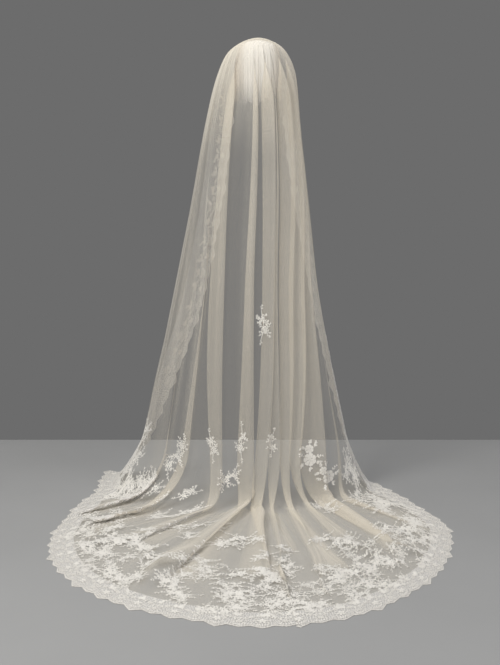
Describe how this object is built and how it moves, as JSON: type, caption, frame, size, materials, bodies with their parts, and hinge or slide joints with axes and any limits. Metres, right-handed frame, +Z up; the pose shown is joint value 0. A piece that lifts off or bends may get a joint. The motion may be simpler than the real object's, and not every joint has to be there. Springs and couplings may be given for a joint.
{
  "type": "bridal veil",
  "caption": "Cathedral bridal veil of sheer ivory tulle with a scalloped lace edge, gathered on a comb and worn, its train spread on the floor.",
  "frame": {"origin": "the seat of the comb on the crown of the head, midway along the comb, 1.720 m above the floor that the train lies on", "axes": "+Z up, +Y the way the wearer faces, so the train spreads towards -Y, and +X to the wearer's right"},
  "size_m": [1.3817, 1.6469, 1.7419],
  "materials": {
    "tulle": "sheer ivory silk tulle net",
    "tier": "dense gathered ivory tulle",
    "lace": "embroidered ivory lace on net",
    "spray": "raised ivory flower embroidery",
    "comb": "translucent ivory plastic"
  },
  "bodies": {
    "root": {"comb": "comb", "heading": "tier", "under_tier": "tier", "tulle_crown": "tulle", "tulle_fall_left": "tulle", "tulle_fall_back_left": "tulle", "tulle_fall_back_right": "tulle", "tulle_fall_right": "tulle", "tulle_train_left": "tulle", "tulle_train_back_left": "tulle", "tulle_train_back_right": "tulle", "tulle_train_right": "tulle", "edge_lace_left_upper": "lace", "edge_lace_left_lower": "lace", "edge_lace_right_upper": "lace", "edge_lace_right_lower": "lace", "hem_lace_left": "lace", "hem_lace_back_left": "lace", "hem_lace_back_right": "lace", "hem_lace_right": "lace", "spray_waist": "spray", "spray_tube": "spray", "spray_kink": "spray", "spray_pleat": "spray", "spray_diagonal": "spray", "rose_upper": "spray", "rose_lower": "spray", "spray_train_1": "spray", "spray_train_2": "spray", "spray_train_3": "spray", "spray_train_4": "spray", "spray_train_5": "spray", "spray_train_6": "spray", "spray_train_7": "spray", "spray_train_8": "spray"}
  },
  "joints": []
}
